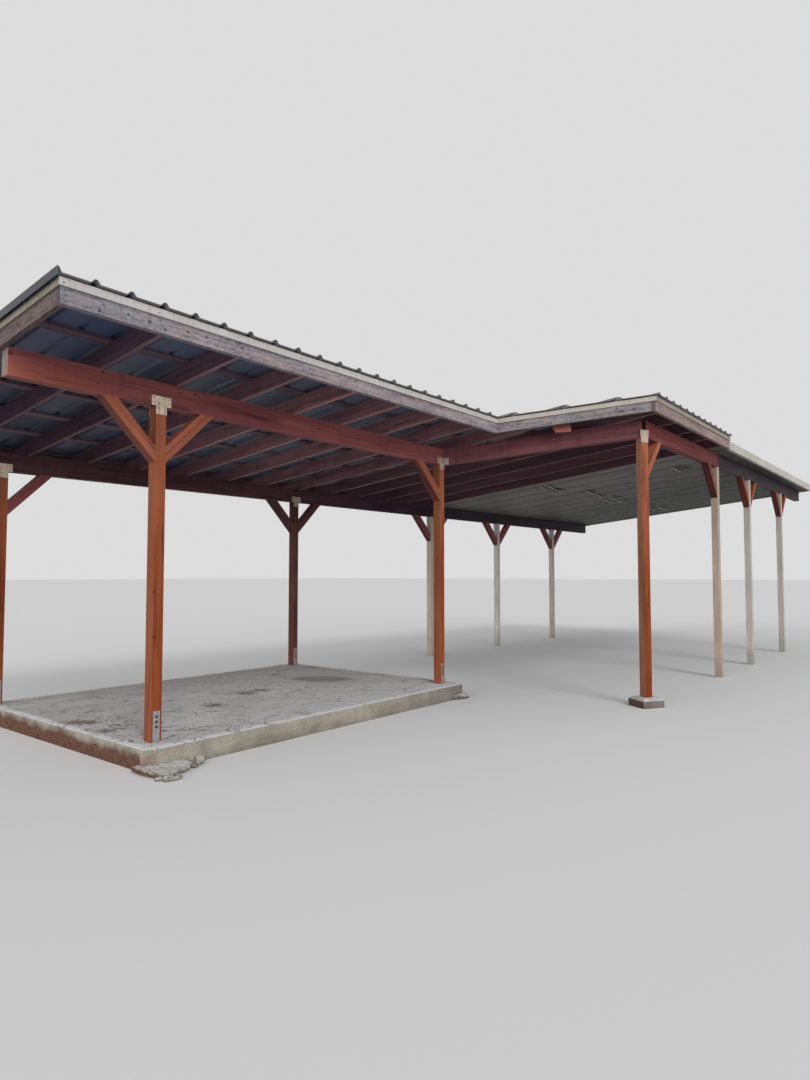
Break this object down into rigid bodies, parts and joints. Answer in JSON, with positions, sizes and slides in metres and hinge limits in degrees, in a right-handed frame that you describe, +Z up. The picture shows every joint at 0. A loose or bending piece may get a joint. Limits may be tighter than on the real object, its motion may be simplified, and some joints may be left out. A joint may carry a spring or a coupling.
{
  "type": "carport",
  "caption": "Open timber carport under one long roof of ribbed metal that falls to the back, with a slanted front corner, knee-braced posts and a concrete slab under its left end.",
  "frame": {"origin": "on the floor, under the middle of the carport's outer box", "axes": "+X along the length, from the open gable end to the far end; +Y across it, from the high front to the low back; +Z up"},
  "size_m": [14.396, 5.342, 3.2988],
  "materials": {
    "concrete": "cast concrete, weathered",
    "stained_beam": "dark red-brown stain, matt",
    "stained_post": "orange-brown stain, matt",
    "weathered_wood": "bare boards, faded grey",
    "white_wood": "old white paint",
    "cream_trim": "cream paint",
    "cream_strap": "cream paint, weathered",
    "galvanised": "zinc-coated",
    "roof_metal": "dark grey ribbed sheet",
    "pan_metal": "light grey roof pans"
  },
  "bodies": {
    "root": {"back_beam": "stained_beam", "back_beam_old": "stained_beam", "braces_back": "stained_beam", "braces_back_old": "stained_beam", "braces_front": "stained_post", "braces_right": "stained_post", "braces_right_old": "stained_beam", "corner_beam": "stained_beam", "fascia_back": "weathered_wood", "fascia_corner": "weathered_wood", "fascia_front": "weathered_wood", "fascia_gable": "weathered_wood", "fascia_right": "weathered_wood", "footing_outer_corner": "concrete", "front_beam": "stained_beam", "old_board_back": "white_wood", "old_board_end": "white_wood", "old_board_front": "white_wood", "post_back_corner": "stained_post", "post_back_far": "white_wood", "post_back_left": "stained_post", "post_back_middle": "white_wood", "post_back_near": "white_wood", "post_base_straps": "galvanised", "post_front_corner": "stained_post", "post_front_left": "stained_post", "post_outer_corner": "stained_post", "post_right_far": "white_wood", "post_right_middle": "white_wood", "post_right_near": "white_wood", "purlins": "stained_beam", "rafters_left": "stained_beam", "rafters_right": "stained_beam", "right_beam": "stained_beam", "right_beam_old": "stained_beam", "roof_pans_old": "pan_metal", "roof_sheet_corner": "roof_metal", "roof_sheet_left": "roof_metal", "roof_sheet_right": "roof_metal", "slab": "concrete", "strap_outer_corner": "cream_strap", "straps_back": "cream_strap", "straps_front": "cream_strap", "trim_back": "cream_trim", "trim_corner": "cream_trim", "trim_front": "cream_trim", "trim_gable": "cream_trim", "trim_right": "cream_trim"}
  },
  "joints": []
}
